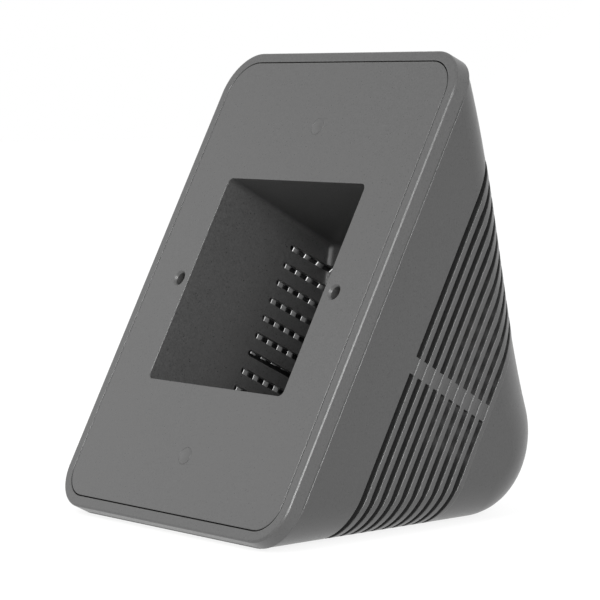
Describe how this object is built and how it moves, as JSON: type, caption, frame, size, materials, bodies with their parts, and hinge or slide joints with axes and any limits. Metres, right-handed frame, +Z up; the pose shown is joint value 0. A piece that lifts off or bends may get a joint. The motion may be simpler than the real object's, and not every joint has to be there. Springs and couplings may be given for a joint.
{
  "type": "desktop housing of a smart home wall panel",
  "caption": "Leaning wedge-shaped desktop housing for a smart home wall panel, with an inset front plate, an open pocket, louvred sides, a rear power inlet and a lever terminal.",
  "frame": {"origin": "centre of the overall width and depth, at the underside of the rubber feet", "axes": "+X to the right seen from the front, +Y to the rear, +Z up; the front face leans back and faces -Y"},
  "size_m": [0.0876, 0.0918, 0.1085],
  "materials": {
    "front_grey": "fine matte texture",
    "shell_grey": "fine matte texture",
    "brass": "knurled, satin",
    "screw_steel": "zinc plated",
    "foot_rubber": "matt",
    "ballast_iron": "rough cast",
    "inlet_black": "satin",
    "pin_nickel": "bright",
    "terminal_light": "satin",
    "contact_copper": "bright strip",
    "lever_dark": "satin",
    "lead_sleeve": "smooth sleeve"
  },
  "bodies": {
    "housing": {"front_frame": "front_grey", "front_plate": "front_grey", "hole_plugs": "front_grey", "panel_inserts": "brass", "post_inserts": "brass", "frame_screws": "screw_steel", "plate_screws": "screw_steel", "main_shell": "shell_grey", "base_cover": "shell_grey", "base_screws": "screw_steel", "rubber_feet": "foot_rubber", "ballast_block": "ballast_iron", "ballast_screws": "screw_steel", "inlet_housing": "inlet_black", "inlet_pins": "pin_nickel", "inlet_screws": "screw_steel", "terminal_body": "terminal_light", "terminal_contacts": "contact_copper", "terminal_screw": "screw_steel", "supply_leads": "lead_sleeve"},
    "lever_left": {"terminal_lever_left": "lever_dark"},
    "lever_right": {"terminal_lever_right": "lever_dark"}
  },
  "joints": [
    {"name": "lever_left_hinge", "type": "hinge", "parent": "housing", "child": "lever_left", "pos_m": [-0.0036, 0.01068, 0.01769], "axis": [1, 0, 0], "range_deg": [0, 85]},
    {"name": "lever_right_hinge", "type": "hinge", "parent": "housing", "child": "lever_right", "pos_m": [0.0036, 0.01068, 0.01769], "axis": [1, 0, 0], "range_deg": [0, 85]}
  ]
}
